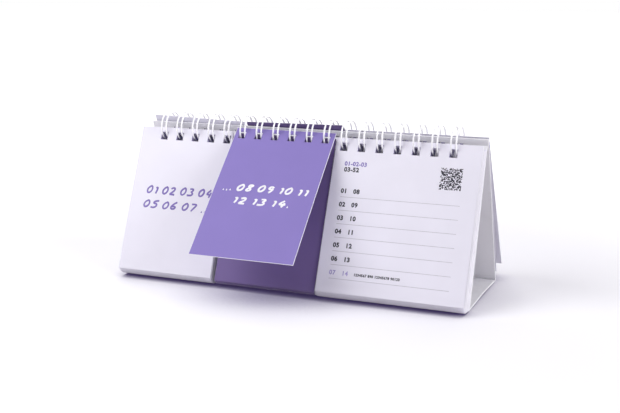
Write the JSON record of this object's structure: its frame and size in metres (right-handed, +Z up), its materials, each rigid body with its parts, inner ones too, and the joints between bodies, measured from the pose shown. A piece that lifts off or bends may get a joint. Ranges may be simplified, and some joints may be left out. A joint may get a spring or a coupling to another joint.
{
  "type": "desk calendar",
  "caption": "Free-standing desk calendar: blocks of cards side by side on one wire comb, along the top of a folding board stand.",
  "frame": {"origin": "middle of the front panel's foot, on the table", "axes": "+X along the wire comb, to the right as seen from the front; +Y to the back; +Z up"},
  "size_m": [0.254, 0.1432, 0.1152],
  "materials": {
    "board": "smooth matt white board",
    "paper": "smooth matt pale lavender card",
    "leaves": "cut edges of a block of white card",
    "purple_card": "smooth matt purple card",
    "deep_card": "smooth matt purple card",
    "wire": "white coated steel wire"
  },
  "bodies": {
    "stand": {"front_panel": "board", "wire_comb": "wire"},
    "back_panel": {"back_panel": "board"},
    "base_front": {"base_front": "board", "base_crease": "board"},
    "base_rear": {"base_rear": "board"},
    "left_rear_pack": {"left_rear_pack": "leaves"},
    "left_front_pack": {"left_front_pack": "leaves"},
    "left_third_card": {"left_third_card": "paper"},
    "left_second_card": {"left_second_card": "paper"},
    "left_top_card": {"left_top_card": "paper"},
    "left_turned_card": {"left_turned_card": "paper"},
    "left_cover": {"left_cover": "paper"},
    "mid_rear_pack": {"mid_rear_pack": "leaves"},
    "mid_front_pack": {"mid_front_pack": "leaves"},
    "mid_third_card": {"mid_third_card": "deep_card"},
    "mid_second_card": {"mid_second_card": "deep_card"},
    "mid_top_card": {"mid_top_card": "purple_card"},
    "mid_turned_card": {"mid_turned_card": "deep_card"},
    "mid_cover": {"mid_cover": "deep_card"},
    "right_rear_pack": {"right_rear_pack": "leaves"},
    "right_front_pack": {"right_front_pack": "leaves"},
    "right_third_card": {"right_third_card": "paper"},
    "right_second_card": {"right_second_card": "paper"},
    "right_top_card": {"right_top_card": "paper"},
    "right_turned_card": {"right_turned_card": "paper"},
    "right_cover": {"right_cover": "paper"}
  },
  "joints": [
    {"name": "back_panel_fold", "type": "hinge", "parent": "stand", "child": "back_panel", "pos_m": [0, 0.03711, 0.10483], "axis": [-1, 0, 0], "range_deg": [0, 34]},
    {"name": "base_front_fold", "type": "hinge", "parent": "stand", "child": "base_front", "pos_m": [0, 0.00164, 0.0008], "axis": [1, 0, 0], "range_deg": [0, 65.89], "deforming": ["base_crease"]},
    {"name": "base_rear_fold", "type": "hinge", "parent": "back_panel", "child": "base_rear", "pos_m": [0, 0.07258, 0.0008], "axis": [-1, 0, 0], "range_deg": [0, 65.89]},
    {"name": "left_rear_pack_lift", "type": "hinge", "parent": "stand", "child": "left_rear_pack", "pos_m": [0, 0.03125, 0.10438], "axis": [-1, 0, 0], "range_deg": [0, 6]},
    {"name": "left_front_pack_lift", "type": "hinge", "parent": "left_rear_pack", "child": "left_front_pack", "pos_m": [0, 0.03125, 0.10438], "axis": [-1, 0, 0], "range_deg": [0, 6]},
    {"name": "left_third_card_turn", "type": "hinge", "parent": "left_front_pack", "child": "left_third_card", "pos_m": [0, 0.03125, 0.10438], "axis": [-1, 0, 0], "range_deg": [0, 8]},
    {"name": "left_second_card_turn", "type": "hinge", "parent": "left_third_card", "child": "left_second_card", "pos_m": [0, 0.03125, 0.10438], "axis": [-1, 0, 0], "range_deg": [0, 10]},
    {"name": "left_top_card_turn", "type": "hinge", "parent": "left_second_card", "child": "left_top_card", "pos_m": [0, 0.03125, 0.10438], "axis": [-1, 0, 0], "range_deg": [0, 95]},
    {"name": "left_turned_card_follow", "type": "hinge", "parent": "stand", "child": "left_turned_card", "pos_m": [0, 0.03125, 0.10438], "axis": [-1, 0, 0], "range_deg": [0, 34]},
    {"name": "left_cover_swing", "type": "hinge", "parent": "left_turned_card", "child": "left_cover", "pos_m": [0, 0.03125, 0.10438], "axis": [1, 0, 0], "range_deg": [-7, 20]},
    {"name": "mid_rear_pack_lift", "type": "hinge", "parent": "stand", "child": "mid_rear_pack", "pos_m": [0, 0.03125, 0.10438], "axis": [-1, 0, 0], "range_deg": [0, 6]},
    {"name": "mid_front_pack_lift", "type": "hinge", "parent": "mid_rear_pack", "child": "mid_front_pack", "pos_m": [0, 0.03125, 0.10438], "axis": [-1, 0, 0], "range_deg": [0, 6]},
    {"name": "mid_third_card_turn", "type": "hinge", "parent": "mid_front_pack", "child": "mid_third_card", "pos_m": [0, 0.03125, 0.10438], "axis": [-1, 0, 0], "range_deg": [0, 8]},
    {"name": "mid_second_card_turn", "type": "hinge", "parent": "mid_third_card", "child": "mid_second_card", "pos_m": [0, 0.03125, 0.10438], "axis": [-1, 0, 0], "range_deg": [0, 10]},
    {"name": "mid_top_card_turn", "type": "hinge", "parent": "mid_second_card", "child": "mid_top_card", "pos_m": [0, 0.03125, 0.10438], "axis": [-1, 0, 0], "range_deg": [-22.4, 72.6]},
    {"name": "mid_turned_card_follow", "type": "hinge", "parent": "stand", "child": "mid_turned_card", "pos_m": [0, 0.03125, 0.10438], "axis": [-1, 0, 0], "range_deg": [0, 34]},
    {"name": "mid_cover_swing", "type": "hinge", "parent": "mid_turned_card", "child": "mid_cover", "pos_m": [0, 0.03125, 0.10438], "axis": [1, 0, 0], "range_deg": [-7, 20]},
    {"name": "right_rear_pack_lift", "type": "hinge", "parent": "stand", "child": "right_rear_pack", "pos_m": [0, 0.03125, 0.10438], "axis": [-1, 0, 0], "range_deg": [0, 6]},
    {"name": "right_front_pack_lift", "type": "hinge", "parent": "right_rear_pack", "child": "right_front_pack", "pos_m": [0, 0.03125, 0.10438], "axis": [-1, 0, 0], "range_deg": [0, 6]},
    {"name": "right_third_card_turn", "type": "hinge", "parent": "right_front_pack", "child": "right_third_card", "pos_m": [0, 0.03125, 0.10438], "axis": [-1, 0, 0], "range_deg": [0, 8]},
    {"name": "right_second_card_turn", "type": "hinge", "parent": "right_third_card", "child": "right_second_card", "pos_m": [0, 0.03125, 0.10438], "axis": [-1, 0, 0], "range_deg": [0, 10]},
    {"name": "right_top_card_turn", "type": "hinge", "parent": "right_second_card", "child": "right_top_card", "pos_m": [0, 0.03125, 0.10438], "axis": [-1, 0, 0], "range_deg": [0, 95]},
    {"name": "right_turned_card_follow", "type": "hinge", "parent": "stand", "child": "right_turned_card", "pos_m": [0, 0.03125, 0.10438], "axis": [-1, 0, 0], "range_deg": [0, 34]},
    {"name": "right_cover_swing", "type": "hinge", "parent": "right_turned_card", "child": "right_cover", "pos_m": [0, 0.03125, 0.10438], "axis": [1, 0, 0], "range_deg": [-7, 20]}
  ],
  "couplings": [
    {"joint": "base_front_fold", "follows": "back_panel_fold", "ratio": 1.938},
    {"joint": "base_rear_fold", "follows": "back_panel_fold", "ratio": 1.938},
    {"joint": "left_turned_card_follow", "follows": "back_panel_fold", "ratio": 1},
    {"joint": "mid_turned_card_follow", "follows": "back_panel_fold", "ratio": 1},
    {"joint": "right_turned_card_follow", "follows": "back_panel_fold", "ratio": 1}
  ]
}
